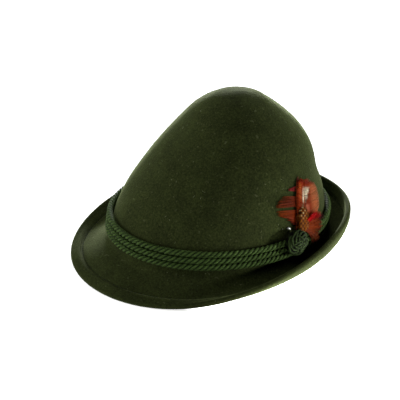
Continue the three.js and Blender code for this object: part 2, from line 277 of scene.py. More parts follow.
def blendColours(tree, factor, first, second, mode="MIX"):
    node = addNode(tree, "ShaderNodeMix", data_type="RGBA", blend_type=mode)
    for key, value in (("Factor", factor), ("A", first), ("B", second)):
        socket = [s for s in node.inputs if s.name == key and s.enabled][0]
        if isinstance(value, bpy.types.NodeSocket):
            tree.links.new(value, socket)
        else:
            socket.default_value = value if key == "Factor" else (*value, 1.0)
    return [s for s in node.outputs if s.enabled][0]


def addNoise(tree, vector, scale, detail=2.0, roughness=0.5):
    return addNode(tree, "ShaderNodeTexNoise", {
        "Vector": vector, "Scale": scale, "Detail": detail, "Roughness": roughness}).outputs["Fac"]


# Looks: noises are scale, detail and roughness; ranges go from a (position, shade) to another
feltLook = {
    "dark": linear(32, 37, 16), "light": linear(39, 45, 20), "speck": linear(98, 102, 72),
    "roughness": 0.95, "specular": 0.03,
    "sheen": 0.42, "sheenRoughness": 0.36, "sheenTint": linear(144, 158, 104),
    "mottle": (60.0, 4.0, 0.6), "mottleRange": ((0.35, 0.0), (0.68, 1.0)),
    "grain": (620.0, 3.0, 0.65), "grainRange": ((0.32, 0.55), (0.68, 1.45)),
    "specks": (341.0, 1.0), "speckRange": ((0.68, 0.0), (0.78, 0.22)),
    "fibre": (2600.0, 2.0, 0.6), "fibreStretch": 0.35, "fibreBump": (0.5, 0.00025),
    "grainBump": (0.35, 0.0006),
}


def feltMaterial(s):
    # two olives mottled together, grained, with pale specks, over a bump of upright fibres
    material, tree, shader = newMaterial(
        "olive_felt", s["dark"], s["roughness"], s["specular"], Sheen_Weight=s["sheen"],
        Sheen_Roughness=s["sheenRoughness"], Sheen_Tint=(*s["sheenTint"], 1.0))
    place = objectPlace(tree)
    mottle = greyRamp(tree, addNoise(tree, place, *s["mottle"]), *s["mottleRange"])
    grain = addNoise(tree, place, *s["grain"])
    speck = greyRamp(tree, addNoise(tree, place, *s["specks"]), *s["speckRange"])
    colour = blendColours(tree, mottle, s["dark"], s["light"])
    colour = blendColours(tree, 1.0, colour, greyRamp(tree, grain, *s["grainRange"]), "MULTIPLY")
    wire(shader, "Base Color", blendColours(tree, speck, colour, s["speck"]))
    upright = addNode(tree, "ShaderNodeMapping", {"Vector": place, "Scale": (1.0, 1.0, s["fibreStretch"])})
    fibres = addNoise(tree, upright.outputs["Vector"], *s["fibre"])
    fine = addBump(tree, fibres, *s["fibreBump"])
    wire(shader, "Normal", addBump(tree, grain, *s["grainBump"], fine))
    return material


cordLook = {
    # deep and light: painted shade in the yarns' grooves and painted highlight on their tops, on either side
    # of the cord's colour
    "deep": linear(9, 16, 4), "colour": linear(20, 32, 9), "light": linear(78, 101, 49), "colourAt": 0.45,
    "roughness": 0.75, "specular": 0.06, "yarns": 9.0, "perMm": 1.1, "yarnBump": (0.6, 0.00012),
    "uneven": (500.0, 2.0, 0.6), "unevenRange": ((0.3, 0.6), (0.7, 1.15)),
}


def cordMaterial(name, s):
    # yarns across a strand: sine of U in mm times perMm plus V times yarns; its height paints shade in the
    # yarns' grooves and highlight on their tops, and the colour attribute darkens the grooves between
    # strands with painted shade and lightens their tops with painted highlight
    material, tree, shader = newMaterial(name, s["colour"], s["roughness"], s["specular"])
    pattern_and_shading = addNode(tree, "ShaderNodeAttribute", attribute_name="pattern_and_shading").outputs["Color"]
    uv = tree.nodes.new("ShaderNodeUVMap").outputs["UV"]
    turns = addMath(tree, "DOT_PRODUCT", uv, (s["perMm"], s["yarns"], 0.0), kind="ShaderNodeVectorMath")
    wave = addMath(tree, "SINE", addMath(tree, "MULTIPLY", turns, 2 * math.pi))
    height = addMath(tree, "MULTIPLY_ADD", wave, 0.5, 0.5)
    uneven = addNoise(tree, objectPlace(tree), *s["uneven"])
    colour = ramp(tree, height, [(0.0, s["deep"]), (s["colourAt"], s["colour"]), (1.0, s["light"])])
    colour = blendColours(tree, 1.0, colour, greyRamp(tree, uneven, *s["unevenRange"]), "MULTIPLY")
    wire(shader, "Base Color", blendColours(tree, 1.0, colour, pattern_and_shading, "MULTIPLY"))
    wire(shader, "Normal", addBump(tree, height, *s["yarnBump"]))
    return material


# Felt cap
hat = {
    "length": 202.0, "width": 168.0, "height": 120.0, "felt": 2.2,
    "brim": 42.5, "fold": 12.0, "edgeWidth": 11.5, "edgeThickness": 5.0, "groove": 0.5,
    "crown": {
        "height": [0.0, 0.12, 0.28, 0.45, 0.6, 0.75, 0.872, 0.958, 0.998, 1.017],
        "side": [1.0, 0.988, 0.962, 0.892, 0.811, 0.69, 0.532, 0.355, 0.232, 0.0],
        "front": [1.0, 0.97, 0.87, 0.7, 0.53, 0.34, 0.215, 0.105, 0.01, -0.2],
        "back": [1.0, 1.005, 0.966, 0.88, 0.83, 0.722, 0.576, 0.44, 0.36, 0.2],
    },
    "brimRound": {
        "width": [1.0, 0.915, 0.825, 0.86, 0.91],
        "slope": [-18.0, -35.0, -30.0, 1.0, 7.0],
        "edgeSlope": [-34.0, 5.0, 86.0, 102.0, 72.0],
    },
    # edge: where it starts before the seam, how far it takes to swell, its groove's reach, its lower lip
    "edgeStart": 1.8, "swell": 4.5, "grooveReach": 0.6, "lip": 0.28, "lipReach": 0.5,
    "around": 400, "crownRows": 84, "foldRows": 14, "flatRows": 14, "edgeRows": 22, "roundRows": 12,
    "topRow": 8.97, "rowPower": 0.9, "edgePower": 1.25, "insideEvery": 3,
}


def alongRows(values, at, flatEnd=False):
    # cubic between rows; the slope at a row is the harmonic mean of the steps beside it
    v = np.asarray(values, float)
    steps = np.diff(v)
    product, total = steps[:-1] * steps[1:], steps[:-1] + steps[1:]
    inner = np.where(product > 0, 2 * product / np.where(total == 0, 1, total), 0.0)
    rise = np.concatenate([steps[:1], inner, [0.0 if flatEnd else steps[-1]]])
    i = np.clip(np.floor(at).astype(int), 0, len(v) - 2)
    t = at - i
    bend = (1 - t) * rise[i] - t * rise[i + 1] - (1 - 2 * t) * steps[i]
    return v[i] + t * steps[i] + t * (1 - t) * bend


def roundHat(values, angle):
    # even cosine series in the angle through values from the front to the back
    v = np.asarray(values, float)
    last = len(v) - 1
    waves = np.arange(last + 1)
    share = np.where(waves % last == 0, 0.5, 1.0)
    part = (np.cos(np.outer(waves, waves) * math.pi / last) * share * v).sum(1) * share * 2 / last
    return np.tensordot(part, np.cos(waves.reshape(-1, *[1] * np.ndim(angle)) * angle), 1)


def outward(angle):
    # level direction square to the oval of the crown's foot
    v = np.stack([np.sin(angle) / hat["width"], -np.cos(angle) / hat["length"], np.zeros_like(angle)], -1)
    return unit(v)


def crownPoint(at, angle):
    # oval section at a row of the table, its front and back reach apart
    front, back = alongRows(hat["crown"]["front"], at), alongRows(hat["crown"]["back"], at)
    x = hat["width"] / 2 * alongRows(hat["crown"]["side"], at) * np.sin(angle)
    y = hat["length"] / 2 * ((back - front) / 2 - (back + front) / 2 * np.cos(angle))
    z = hat["height"] * alongRows(hat["crown"]["height"], at, True)
    return np.stack(np.broadcast_arrays(x, y, z), -1)


lastRow = len(hat["crown"]["height"]) - 1.0
rowTable = np.linspace(0, lastRow, 1801)
heightTable = hat["height"] * alongRows(hat["crown"]["height"], rowTable, True)


def besideCrown(angle, height, off):
    # point at a height over the foot and some way off the crown, level and square to the foot's oval
    angle, height, off = np.broadcast_arrays(np.asarray(angle, float), height, off)
    point = crownPoint(np.interp(height, heightTable, rowTable), angle) + outward(angle) * off[..., None]
    point[..., 2] = height
    return point


def brimPaths(angle, steps=240):
    # the slope is summed along the felt: wall, eased over the fold to the brim's slope, then to its edge's
    foot, out = crownPoint(np.zeros_like(angle), angle), outward(angle)
    following = crownPoint(np.ones_like(angle), angle) - foot
    wall = -math.pi / 2 - np.arctan((following * out).sum(-1) / following[..., 2])
    slope = np.radians(roundHat(hat["brimRound"]["slope"], angle))
    edge = np.radians(roundHat(hat["brimRound"]["edgeSlope"], angle))
    length = hat["brim"] * roundHat(hat["brimRound"]["width"], angle)
    at = (np.arange(steps) + 0.5)[:, None] * length / steps
    fold = np.minimum(at / hat["fold"], 1)
    eased = fold / 2 + fold * fold * (3 - 2 * fold) / 2
    curl = np.maximum((at - hat["fold"]) / (length - hat["fold"]), 0)
    tilt = wall + (slope - wall) * eased + (edge - slope) * curl
    moves = np.stack([np.cos(tilt), np.sin(tilt)], -1) * length[:, None] / steps
    path = np.concatenate([np.zeros((1, len(angle), 2)), np.cumsum(moves, 0)]) - [hat["felt"] / 2, 0]

    def point(where):
        place = np.clip(where / length * steps, 0, steps)
        i, j = np.minimum(np.floor(place).astype(int), steps - 1), np.arange(len(angle))
        t = (place - i)[:, None]
        reach, height = (path[i, j] * (1 - t) + path[i + 1, j] * t).T
        spot = foot + out * reach[:, None]
        spot[:, 2] = height
        return spot

    return length, point


def gridNormals(grid):
    # square to the rows and to the columns, which close on themselves
    down = np.gradient(grid, axis=0)
    along = np.roll(grid, -1, 1) - np.roll(grid, 1, 1)
    return unit(np.cross(down, along))


def brimRows(length, seam):
    # along the felt from the crown's foot: the fold, the flat, and the edge in steps that widen outwards
    h = hat
    fold = np.linspace(0, 1, h["foldRows"])[:, None] * h["fold"] + 0 * length
    flatLength = length - seam - h["edgeStart"] - h["fold"]
    flat = h["fold"] + np.linspace(0, 1, h["flatRows"] + 1)[1:, None] * flatLength
    grow = np.linspace(0, 1, h["edgeRows"] + 1)[1:] ** h["edgePower"]
    edge = (seam + h["edgeStart"]) * grow - h["edgeStart"]
    wheres = np.concatenate([fold, flat, length - seam + edge[:, None]])
    beforeSeam = np.full(h["foldRows"] + h["flatRows"], -20.0)  # too far in to feel the seam
    beforeSeam[-1] = -h["edgeStart"]
    return wheres, np.concatenate([beforeSeam, edge])


def feltShape():
    # a middle surface of crown and brim, and half the felt's thickness laid on both its sides;
    # past the seam the felt swells as a quarter sine, and a bell-shaped groove marks the seam
    h = hat
    angle = fullTurn(h["around"])
    soft, half = h["felt"] / 2, h["edgeThickness"] / 2
    rows = h["topRow"] * (1 - np.linspace(0, 1, h["crownRows"]) ** h["rowPower"])
    outer = np.stack([crownPoint(np.full_like(angle, at), angle) for at in rows])
    crown = (outer - gridNormals(outer) * soft)[:-1]
    length, point = brimPaths(angle)
    wheres, d = brimRows(length, h["edgeWidth"] - half)
    swollen = np.sin(np.pi / 2 * np.clip(d / h["swell"], 0, 1))
    groove = h["groove"] * np.exp(-((d / h["grooveReach"]) ** 2))
    lip = h["lip"] * np.exp(-((d / h["lipReach"]) ** 2))
    upper = soft + (half - soft) * swollen - groove
    lower = soft + (half - soft) * np.where(d > 0, h["lip"] + (1 - h["lip"]) * swollen, lip)
    middle = np.concatenate([crown, np.stack([point(w) for w in wheres])])
    crownHalf = np.full(len(crown), soft)
    square = gridNormals(middle)
    top = middle + square * np.concatenate([crownHalf, upper])[:, None, None]
    under = middle - square * np.concatenate([crownHalf, lower])[:, None, None]
    turn = np.linspace(0, math.pi, h["roundRows"] + 2)[1:-1, None, None]
    out = unit(middle[-1] - middle[-2])
    edge = middle[-1] + half * (np.cos(turn) * square[-1] + np.sin(turn) * out)
    keep = np.concatenate([np.arange(0, len(crown), h["insideEvery"]), np.arange(len(crown), len(middle))])
    rings = np.concatenate([top, edge, under[keep][::-1]])
    shape = newShape()
    pole = crownPoint(np.array([lastRow]), np.array([0.0]))[0]
    addTube(shape, rings, hubs=(pole, pole - [0, 0, h["felt"]]))
    return shape, rings, len(crown) + int(np.argmin(np.abs(d)))


felt = feltMaterial(feltLook)
capShape, capRings, seamRow = feltShape()
makePiece("felt_cap", capShape, felt, ["felt_body"])

# Nap, lint and the stitches in the groove of the brim's edge
nap = {
    "seed": 3, "hairs": 13500, "length": (0.7, 2.0), "radius": 0.04, "lean": (0.05, 0.75),
    "dark": linear(40, 46, 20), "light": linear(78, 84, 48), "patches": 250.0,
}
lint = {
    "seed": 11, "hairs": 170, "length": (0.8, 2.4), "radius": 0.1, "lean": (0.02, 0.2),
    "dark": linear(84, 90, 60), "light": linear(128, 130, 100), "patches": 60.0,
}
hairForm = {
    "root": 0.05, "middle": (0.55, 0.04), "tip": (0.8, 0.03), "curl": 0.25,
    "thickness": (0.7, 1.3), "taper": (1.0, 0.9, 0.4), "sides": 3,
}
stitches = {
    "count": 190, "length": 2.6, "radius": 0.28, "sink": 0.02, "rise": 1.2, "arch": 8.0, "sides": 6,
    "taper": (0.6, 1.0, 1.0, 1.0, 0.6),
    "dark": linear(18, 22, 10), "light": linear(30, 36, 18), "patches": 800.0,
}


def threads(lines, radii, out, sides):
    # many short round threads, each along its own line on the felt
    shape = newShape()
    addSleeves(shape, circles(lines, radii, *lineAxes(lines, out[:, None]), sides))
    return shape


def hairs(s):
    # roots spread evenly over the felt's faces; each hair leans off the felt and bends back towards it
    toss, f = np.random.default_rng(s["seed"]), hairForm
    here, after = capRings[:-1], capRings[1:]
    acrossHere, acrossAfter = np.roll(here, -1, 1) - here, np.roll(after, -1, 1) - after
    square = np.cross(acrossHere, after - here)
    area = np.linalg.norm(square, axis=-1)
    at = toss.choice(area.size, s["hairs"], p=area.ravel() / area.sum())
    i, j = np.unravel_index(at, area.shape)
    u, v = toss.random((2, s["hairs"], 1))
    root = (here[i, j] + acrossHere[i, j] * u) * (1 - v) + (after[i, j] + acrossAfter[i, j] * u) * v
    out = -unit(square[i, j])
    around = toss.normal(0, 1, (s["hairs"], 3))
    along = unit(around - out * (around * out).sum(-1, keepdims=True))
    lean = toss.uniform(*s["lean"], (s["hairs"], 1))
    length = toss.uniform(*s["length"], (s["hairs"], 1))
    turned = unit(np.cross(out, along)) * toss.normal(0, f["curl"], (s["hairs"], 1))

    def point(share, way, rise):
        # a share of the length along the felt, and the sine of the lean and a little more off it
        return root + length * (share * way * np.cos(lean) + out * (rise[0] * np.sin(lean) + rise[1]))

    middle, tip = point(0.5, along, f["middle"]), point(1.0, along + turned, f["tip"])
    lines = np.stack([root - f["root"] * out, middle, tip], 1)
    radii = s["radius"] * toss.uniform(*f["thickness"], (s["hairs"], 1)) * np.array(f["taper"])
    return threads(lines, radii, out, f["sides"])


def stitchShape(s):
    # short threads lying in the groove, arched as a parabola, one after the other round the brim
    ring, square = capRings[seamRow], gridNormals(capRings)[seamRow]
    a = np.linspace(-0.5, 0.5, len(s["taper"]))
    middles = np.arange(s["count"])[:, None] * hat["around"] / s["count"]
    at = (middles + a * s["length"] / loopSteps(ring).mean()) % hat["around"]
    i = at.astype(int)
    t = (at - i)[..., None]
    out = square[i]
    rise = s["radius"] * (s["rise"] - s["arch"] * a ** 2) - s["sink"]
    line = ring[i] * (1 - t) + ring[(i + 1) % hat["around"]] * t + out * rise[None, :, None]
    return threads(line, s["radius"] * np.array([s["taper"]]), out[:, len(a) // 2], s["sides"])


threadLook = {"roughness": 0.85, "specular": 0.15, "darkTo": 0.35, "lightFrom": 0.7}


def threadMaterial(name, s):
    # two colours in small patches
    look = threadLook
    material, tree, shader = newMaterial(name, s["dark"], look["roughness"], look["specular"])
    patches = addNoise(tree, objectPlace(tree), s["patches"])
    stops = [(look["darkTo"], s["dark"]), (look["lightFrom"], s["light"])]
    wire(shader, "Base Color", ramp(tree, patches, stops))
    return material


makePiece("felt_nap", hairs(nap), threadMaterial("felt_nap", nap))
makePiece("felt_lint", hairs(lint), threadMaterial("pale_lint", lint))
makePiece("edge_stitches", stitchShape(stitches), threadMaterial("stitch_thread", stitches))
print("felt done")


# Cords: three strands laid up into each, ring by ring
cords = {
    "count": 3, "thickness": 5.4, "rise": 4.3, "clearance": 0.3, "spring": 1.4, "springAngle": 292.0,
    "plies": 3, "lay": 14.0, "swell": 1.08, "sides": 9, "steps": 720,
    # greys on the cord's colour: painted shade deep between the strands, painted highlight on their outer
    # tops
    "groove": 0.12, "litCrest": 1.42, "crestFrom": 0.5, "crestPower": 2.4,
}


def greyColours(shape, grey):
    shape["colours"].append(np.repeat(grey.reshape(-1, 1), 3, 1))


def cordLine(place):
    # the crown's girth at the cord's height, sprung off the felt a little on the wearer's right
    s = cords
    angle = fullTurn(s["steps"])
    turn = np.maximum(np.cos(angle - math.radians(s["springAngle"])), 0)
    spring = s["spring"] * place * turn ** 2 / (s["count"] - 1)
    height = s["rise"] + place * (s["thickness"] + s["clearance"])
    return angle, besideCrown(angle, height, s["clearance"] + s["thickness"] / 2 + spring)


def twistedCord(centre, normal, s):
    # strands wind round a centre line: each lies at a helix radius, a third of a turn from the next
    shape = newShape()
    along = np.concatenate([[0], np.cumsum(loopSteps(centre))])
    total = along[-1]
    beside = np.cross(loopHeading(centre), normal)
    radius = s["thickness"] / 2
    thin = radius / (1 + 1 / math.sin(math.pi / s["plies"]))
    turns = round(total / s["lay"])
    for start in fullTurn(s["plies"]):
        phase = 2 * math.pi * turns * along[:-1] / total + start
        line = centre + (radius - thin) * (np.cos(phase)[:, None] * normal - np.sin(phase)[:, None] * beside)
        heading = loopHeading(line)
        over = unit(normal - heading * (normal * heading).sum(1, keepdims=True))
        rings = circles(line, thin * s["swell"], over, np.cross(heading, over), s["sides"])[:, ::-1]
        addTube(shape, rings, total, True)
        # painted shade: each ring darker towards the cord's middle between the strands, and lighter than the
        # cord's colour on the outer tops as painted highlight
        reach = np.linalg.norm(rings - centre[:, None], axis=-1) / radius
        litCrest = np.clip((reach - s["crestFrom"]) / (1 - s["crestFrom"]), 0, 1) ** s["crestPower"]
        greyColours(shape, s["groove"] + (s["litCrest"] - s["groove"]) * litCrest)
    return shape


cordStuff = cordMaterial("twisted_cord", cordLook)
for place in range(cords["count"]):
    angle, line = cordLine(place)
    cordShape = twistedCord(line, outward(angle), cords)
    makePiece(f"twisted_cord_{place + 1}", cordShape, cordStuff, [f"cord_{place + 1}"])
print("cords laid")


# Knot: a Turk's head, each of its rounds three strands side by side over a domed core
knot = {
    "angle": 96.0, "lift": 0.8, "width": 23.0, "depth": 11.0, "rounds": 3, "bights": 5,
    "middle": 0.53, "swing": 0.37, "weave": 1.1, "strand": 2.35, "gap": 2.6, "start": 180.0,
    "domeSpare": 0.6, "domeRise": 0.2, "lanes": (-1, 0, 1), "smoothing": 3, "sides": 10, "steps": 620,
    # greys of painted shade: darkest on the strands where they face into the dome, less on their outward
    # tops; the core's grey is painted shade between the strands
    "groove": 0.02, "litCrest": 0.68, "crestPower": 3.2,
    "core": {"wide": 0.96, "deep": 0.9, "rings": 8, "sides": 28, "grey": 0.1},
}
cordTop = cords["rise"] + (cords["count"] - 1) * (cords["thickness"] + cords["clearance"])


def sideFrame(angle, height, off):
    # on the crown's side, leaning with its wall: origin, and rows along, up and out
    high = besideCrown(angle, height + knot["width"] / 2, 0.0)
    low = besideCrown(angle, height - knot["width"] / 2, 0.0)
    up = unit(high - low)
    along = unit(np.cross(up, outward(np.asarray(angle))))
    out = np.cross(along, up)
    return besideCrown(angle, height, 0.0) + out * off, np.stack([along, up, out])


def knotLane(s, lane, radius, coreDepth):
    # lane beside the middle path in its own plane, raised over the dome and woven over and under
    share = fullTurn(s["steps"])
    turn = share * s["rounds"] + math.radians(s["start"])
    weave = s["bights"] * share
    over = radius - s["strand"] / 2
    reach = over * (s["middle"] + s["swing"] * np.cos(weave))
    flat = np.stack([reach * np.cos(turn), reach * np.sin(turn)], 1)
    heading = loopHeading(flat)
    flat = flat + lane * s["gap"] * np.stack([heading[:, 1], -heading[:, 0]], 1)
    away = np.hypot(flat[:, 0], flat[:, 1])
    flat = flat * np.minimum(1, over / np.maximum(away, 1e-6))[:, None]
    inDome = np.minimum(away, over) / (radius + s["domeSpare"])
    dome = coreDepth * np.sqrt(np.maximum(1 - inDome ** 2, 0)) + s["domeRise"]
    high = np.maximum(dome + s["weave"] * np.sin(2 * weave), s["strand"] / 2)
    line = np.concatenate([flat, high[:, None]], 1)
    for _ in range(s["smoothing"]):
        line = (np.roll(line, 1, 0) + 2 * line + np.roll(line, -1, 0)) / 4
    return line


def knotShape(s):
    # round strands along the lanes, painted dark as shade where they face into the dome, and half a
    # flattened ball for core, painted dark as the shade between the strands
    off = 2 * cords["clearance"] + cords["thickness"]
    origin, axes = sideFrame(math.radians(s["angle"]), cordTop + s["lift"], off)
    radius, coreDepth = s["width"] / 2, s["depth"] - s["strand"]
    shape = newShape()
    for lane in s["lanes"]:
        line = knotLane(s, lane, radius, coreDepth)
        heading = loopHeading(line)
        side = unit(np.cross(np.array([0.0, 0.0, 1.0]), heading))
        rings = circles(line, s["strand"] / 2, side, np.cross(heading, side), s["sides"])
        addTube(shape, origin + rings @ axes, loopSteps(line).sum(), True)
        # painted shade: a strand is darker where it faces into the dome
        facing = unit(line / [radius ** 2, radius ** 2, coreDepth ** 2])
        litCrest = np.clip((unit(rings - line[:, None]) * facing[:, None]).sum(-1), 0, 1) ** s["crestPower"]
        greyColours(shape, s["groove"] + (s["litCrest"] - s["groove"]) * litCrest)
    core = s["core"]
    wide, deep = (radius - s["strand"] / 2) * core["wide"], coreDepth * core["deep"]
    high = np.linspace(0, math.pi / 2, core["rings"] + 1)[:-1, None]
    ball = origin + ballRings(high, core["sides"], axes[0] * wide, axes[1] * wide, axes[2] * deep)
    addTube(shape, ball[:, ::-1], hubs=(origin, origin + axes[2] * deep))
    # the core painted dark as the shade seen between the strands
    greyColours(shape, np.full(core["rings"] * core["sides"] + 2, core["grey"]))
    return shape


makePiece("turks_head_knot", knotShape(knot), cordMaterial("knot_cord", cordLook), ["cord_knot"])
print("knot tied")


# Plume: places are mm past its foot towards the back, mm over the crown's foot and mm off the crown
plume = {"angle": 101.0, "seed": 7, "dye": 0.6}  # dye: how dark dyed barbs are beside plain ones
barbForm = {"root": 0.5, "opening": 3.0, "tip": 0.97, "flat": 0.35, "thickness": 0.16}
sheafForm = {"stray": (0.4, 0.4, 0.3), "bowStray": 0.25, "shade": 0.14}
dice = np.random.default_rng(plume["seed"])


def plumeAngle(side):
    return math.radians(plume["angle"]) + side / (hat["width"] / 2)


def plumeSpot(side, height, off):
    return besideCrown(plumeAngle(side), height, off)


def alongPath(points, share):
    # straight between the listed points, share from 0 at the first to 1 at the last
    p = np.asarray(points, float)
    at = np.asarray(share) * (len(p) - 1)
    return np.stack([np.interp(at, np.arange(len(p)), p[:, k]) for k in range(p.shape[1])], -1)


def addBarbs(shape, places, width, thickness, colours):
    # places is (barbs, steps, 3); each barb is a flat diamond section along its line, drawn to a point
    lines = plumeSpot(places[..., 0], places[..., 1], places[..., 2])
    side, over = lineAxes(lines, outward(plumeAngle(places[..., 0])))
    share, f = np.linspace(0, 1, places.shape[1])[:, None], barbForm
    taper = np.minimum(1, f["root"] + f["opening"] * share) * np.sqrt(1 - f["tip"] * share ** 3)
    wide = side * width * taper / 2
    tall = over * thickness * (f["flat"] + (1 - f["flat"]) * taper) / 2
    addSleeves(shape, np.stack([lines + wide, lines + tall, lines - wide, lines - tall], 2))
    shape["colours"].append(np.repeat(colours[:, :, None], 4, 2).reshape(-1, 3))


def addRod(shape, points, radii, sides=8):
    # a round rod along a line of points in the hat's frame, its radius changing along it
    addTube(shape, circles(points, radii, *lineAxes(points, outward(plumeAngle(0.0))), sides))


def addQuill(shape, places, radii, colour):
    before = shape["count"]
    addRod(shape, plumeSpot(places[:, 0], places[:, 1], places[:, 2]), radii)
    shape["colours"].append(np.broadcast_to(linear(*colour), (shape["count"] - before, 3)))


def sheaf(shape, s, steps=9):
    # barbs from the root line to the tip line, bowed on the way, each a little off its neighbours;
    # colours are the roots', the tips' and, where it differs, the last barb's tip's
    count = s["count"]
    share = (np.arange(count) + 0.5) / count
    root, tip = alongPath(s["roots"], share), alongPath(s["tips"], share)
    tip = tip + dice.normal(0, 1, (count, 3)) * s.get("stray", sheafForm["stray"])
    middle = (root + tip) / 2 + s.get("bow", (0, 0, 0)) + dice.normal(0, sheafForm["bowStray"], (count, 3))
    a = np.linspace(0, 1, steps)[None, :, None]
    places = (1 - a) ** 2 * root[:, None] + 2 * a * (1 - a) * middle[:, None] + a ** 2 * tip[:, None]
    shade = dice.normal(1, sheafForm["shade"], (count, 1, 1))
    low, high, edge = (np.array(linear(*colour)) for colour in [*s["colours"], s["colours"][-1]][:3])
    across = share[:, None, None]
    colours = low * (1 - a) + (high * (1 - across) + edge * across) * a
    colours = np.clip(colours * shade * plume["dye"], 0, 1)
    addBarbs(shape, places, s["width"], s.get("thickness", barbForm["thickness"]), colours)


featherLook = {
    "plain": (0.3, 0.1, 0.05), "roughness": 0.45, "specular": 0.03,
    "uneven": (900.0, 3.0, 0.6), "unevenRange": ((0.3, 0.53), (0.7, 0.87)),
    "barbules": 3500.0, "barbuleBump": (0.3, 0.0001),
}


def featherMaterial(name, s):
    # colour from the piece's own pattern, with fine unevenness
    material, tree, shader = newMaterial(name, s["plain"], s["roughness"], s["specular"])
    pattern_and_shading = addNode(tree, "ShaderNodeAttribute", attribute_name="pattern_and_shading").outputs["Color"]
    place = objectPlace(tree)
    uneven = greyRamp(tree, addNoise(tree, place, *s["uneven"]), *s["unevenRange"])
    wire(shader, "Base Color", blendColours(tree, 1.0, pattern_and_shading, uneven, "MULTIPLY"))
    barbules = addNoise(tree, place, s["barbules"])
    wire(shader, "Normal", addBump(tree, barbules, *s["barbuleBump"]))
    return material


barbStuff = featherMaterial("feather_barbs", featherLook)

rust = {
    "quill": [(-1.2, 23.0, 1.6), (0.2, 65.5, 1.2)], "quillColour": (140, 62, 30),
    "quillRadius": 0.55, "quillTaper": 0.8, "quillSteps": 24,
    "sheaves": [
        {"roots": [(-0.4, 60.0, 1.1), (-0.5, 55.6, 1.1)], "tips": [(-11.4, 59.6, 1.6), (-10.4, 59.0, 1.6)],
         "count": 8, "width": 0.6, "colours": [(120, 30, 20), (160, 45, 48)]},
        {"roots": [(-0.5, 51.2, 1.1), (-0.8, 43.0, 1.1)],
         "tips": [(-17.5, 55.6, 1.8), (-23.2, 52.2, 2.0), (-24.6, 49.2, 2.0), (-21.0, 47.4, 1.6)],
         "count": 30, "width": 0.66, "bow": (0, 0.8, 0.5), "colours": [(112, 34, 6), (124, 52, 14)]},
        {"roots": [(-0.8, 40.6, 1.1), (-1.3, 26.0, 1.3)],
         "tips": [(-22.9, 44.9, 1.8), (-21.6, 41.0, 1.8), (-16.0, 38.7, 1.5), (-9.0, 33.4, 1.3),
                  (-3.2, 28.0, 1.3)],
         "count": 42, "width": 0.66, "bow": (0, 1.0, 0.5),
         "colours": [(146, 50, 8), (160, 72, 18), (128, 30, 6)]},
        {"roots": [(0.2, 28.0, 1.1), (0.2, 64.0, 1.1)],
         "tips": [(5.0, 34.0, 1.2), (7.5, 48.0, 1.4), (6.0, 62.0, 1.2), (1.5, 67.0, 1.0)],
         "count": 66, "width": 0.66, "colours": [(120, 34, 8), (136, 44, 12)]},
    ],
}
rustShape = newShape()
for one in rust["sheaves"]:
    sheaf(rustShape, one)
share = np.linspace(0, 1, rust["quillSteps"])
quillRadii = rust["quillRadius"] * (1 - rust["quillTaper"] * share)
addQuill(rustShape, alongPath(rust["quill"], share), quillRadii, rust["quillColour"])
makePiece("rust_feather", rustShape, barbStuff, ["plume_back"])


def smoothStep(x, low, high):
    # 0 below low, 1 above high, three squares less two cubes between
    t = np.clip((x - low) / (high - low), 0, 1)
    return t * t * (3 - 2 * t)


def between(x, rise, fall):
    return smoothStep(x, *rise) * (1 - smoothStep(x, *fall))


def bell(x, middle, reach):
    return np.exp(-((x - middle) / reach) ** 2)


# Vanes: side of the left and right edge at shares of the length, mm off the crown, colours and marks in mm
glossy = {
    "foot": 22.0, "length": 44.5, "drop": 0.26, "rachis": 0.27, "barbs": 92, "width": 0.78,
    "along": [0.0, 0.12, 0.3, 0.5, 0.7, 0.85, 0.94, 1.0],
    "left": [2.5, 0.0, -2.2, -2.2, -2.0, -1.8, -1.2, 4.0],
    "right": [5.5, 13.0, 21.0, 25.5, 27.5, 26.5, 22.5, 9.0],
    "off": {"foot": 4.2, "left": 2.8, "right": 5.6, "bulge": 1.6},
    "colours": {
        "base": (160, 52, 8), "rightHighlight": (204, 112, 66), "top": (142, 38, 12), "leftLine": (200, 96, 36),
        "ivory": (222, 208, 176), "grey": (150, 138, 100), "brown": (136, 60, 20), "pink": (222, 128, 96),
    },
    "marks": {
        "rightHighlight": (11.0, 17.0), "rightHighlightEnd": (63.0, 67.0), "top": (61.5, 64.5),
        "leftLine": (2.0, 1.2), "leftLineFrom": (46.0, 52.0), "leftLineShare": 0.8,
        "blazeFoot": 47.0, "blazeMiddle": (5.0, 0.3), "blazeHalf": (1.2, 0.2), "blazeEdge": 0.9,
        "blazeRise": (45.5, 50.0), "blazeFall": (57.8, 61.4), "brown": (1.2, 1.1), "shaft": (0.5, 0.6),
        "lowRise": (38.0, 42.0), "lowFall": (45.0, 47.0), "dots": (4.2, 1.8), "dotWaves": (2.2, 2.0),
        "pink": (8.4, 1.5), "pinkShare": 0.9,
    },
}
speckled = {
    "foot": 20.0, "length": 24.0, "drop": 0.12, "rachis": 0.5, "barbs": 56, "width": 0.7,
    "along": [0.0, 0.25, 0.5, 0.75, 0.9, 1.0],
    "left": [-1.0, -2.4, -2.6, -2.2, -1.2, 1.5],
    "right": [5.5, 9.8, 10.0, 8.0, 6.0, 3.0],
    "off": {"foot": 6.6, "left": 5.2, "right": 6.6, "bulge": 1.2},
    "colours": {"base": (134, 68, 8), "dark": (40, 22, 2), "cream": (214, 190, 136), "gold": (172, 104, 18)},
    "marks": {
        "spotSide": (-0.6, 1.7), "spotHeight": (41.5, 2.3), "dark": (0.25, 0.7), "gold": (0.3, 0.75),
        "cream": (0.4, 0.8), "creamFrom": (33.0, 40.0), "creamSide": (2.0, 5.0),
    },
}
